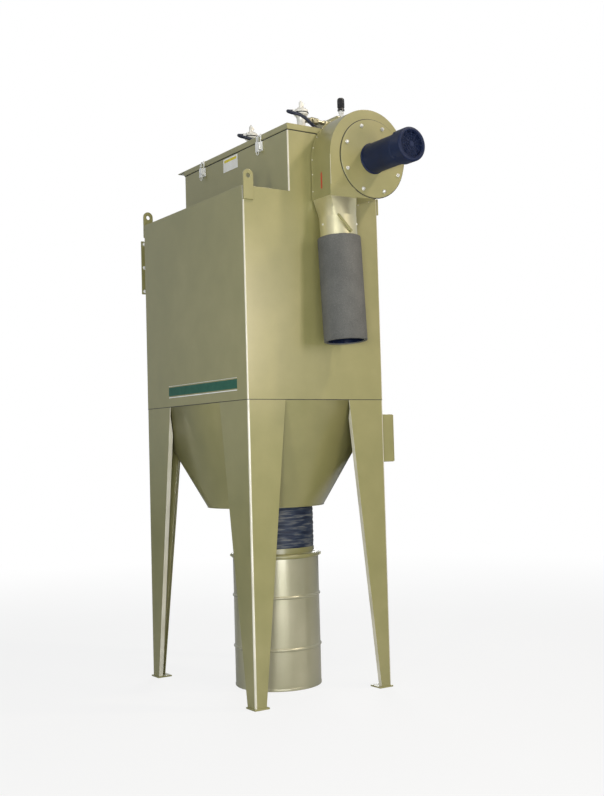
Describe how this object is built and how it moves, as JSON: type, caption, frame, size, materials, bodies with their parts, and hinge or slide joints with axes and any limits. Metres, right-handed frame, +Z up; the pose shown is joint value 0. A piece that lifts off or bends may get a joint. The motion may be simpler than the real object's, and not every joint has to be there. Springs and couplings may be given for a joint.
{
  "type": "pulse-jet cartridge dust collector",
  "caption": "Free-standing cartridge dust collector: stepped sheet-steel cabinet on tapered legs, hopper with hose to a dust drum, front blower with damper and silencer.",
  "frame": {"origin": "on the floor, in the middle between the four legs", "axes": "+Z up, -Y is the front face that carries the blower, +X to the right seen from the front"},
  "size_m": [1.16, 2.07, 3.865],
  "materials": {
    "khaki_paint": "satin",
    "motor_paint": "satin",
    "zinc": "satin",
    "gasket_rubber": "matte",
    "hose_rubber": "matte",
    "silencer_foam": "matte",
    "black_plastic": "gloss"
  },
  "bodies": {
    "collector": {"front_wall": "khaki_paint", "back_wall": "khaki_paint", "left_wall": "khaki_paint", "right_wall": "khaki_paint", "plenum_side_wall": "khaki_paint", "shoulder_roof": "khaki_paint", "lid_gasket": "gasket_rubber", "lid": "khaki_paint", "leg_front_left": "khaki_paint", "leg_front_right": "khaki_paint", "leg_back_left": "khaki_paint", "leg_back_right": "khaki_paint", "foot_plates": "khaki_paint", "hopper": "khaki_paint", "hopper_outlet": "khaki_paint", "discharge_hose": "hose_rubber", "drum_body": "khaki_paint", "drum_bottom": "khaki_paint", "drum_lid": "khaki_paint", "drum_clamp_ring": "khaki_paint", "lifting_lugs": "khaki_paint", "inlet_flange": "khaki_paint", "control_box": "khaki_paint", "control_box_door": "khaki_paint", "fan_mount": "khaki_paint", "fan_housing": "khaki_paint", "fan_cover": "khaki_paint", "motor_body": "motor_paint", "motor_cowl": "motor_paint", "outlet_transition": "khaki_paint", "outlet_duct": "khaki_paint", "silencer": "silencer_foam", "pulse_valve_1": "zinc", "pulse_valve_2": "zinc", "air_header": "khaki_paint", "feed_pipes": "zinc", "regulator": "black_plastic", "toggle_latches": "zinc", "air_hose_1": "hose_rubber", "air_hose_2": "hose_rubber", "diaphragms": "gasket_rubber"},
    "damper_blade": {"damper": "khaki_paint"}
  },
  "joints": [
    {"name": "damper_turn", "type": "hinge", "parent": "collector", "child": "damper_blade", "pos_m": [0.098, -0.82115, 2.9032], "axis": [0, 0.9981, -0.061], "range_deg": [-46, 44]}
  ]
}
